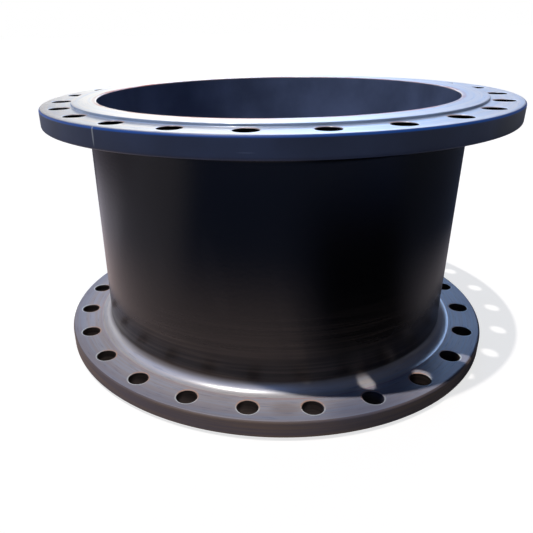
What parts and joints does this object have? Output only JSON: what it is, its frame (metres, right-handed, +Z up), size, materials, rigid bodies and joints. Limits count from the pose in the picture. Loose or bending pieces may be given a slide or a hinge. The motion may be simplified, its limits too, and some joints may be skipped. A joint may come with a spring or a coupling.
{
  "type": "double-flanged pipe",
  "caption": "Short, wide cast iron pipe with a drilled flange and a raised gasket face at each end, painted black.",
  "frame": {"origin": "centre of the lower raised face, on the ground that the pipe stands on", "axes": "+Z up along the bore; X and Y each pass halfway between two bolt holes"},
  "size_m": [0.91, 0.91, 0.5],
  "materials": {
    "black_paint": "glossy black bituminous paint over cast iron"
  },
  "bodies": {
    "root": {"flanged_pipe": "black_paint"}
  },
  "joints": []
}
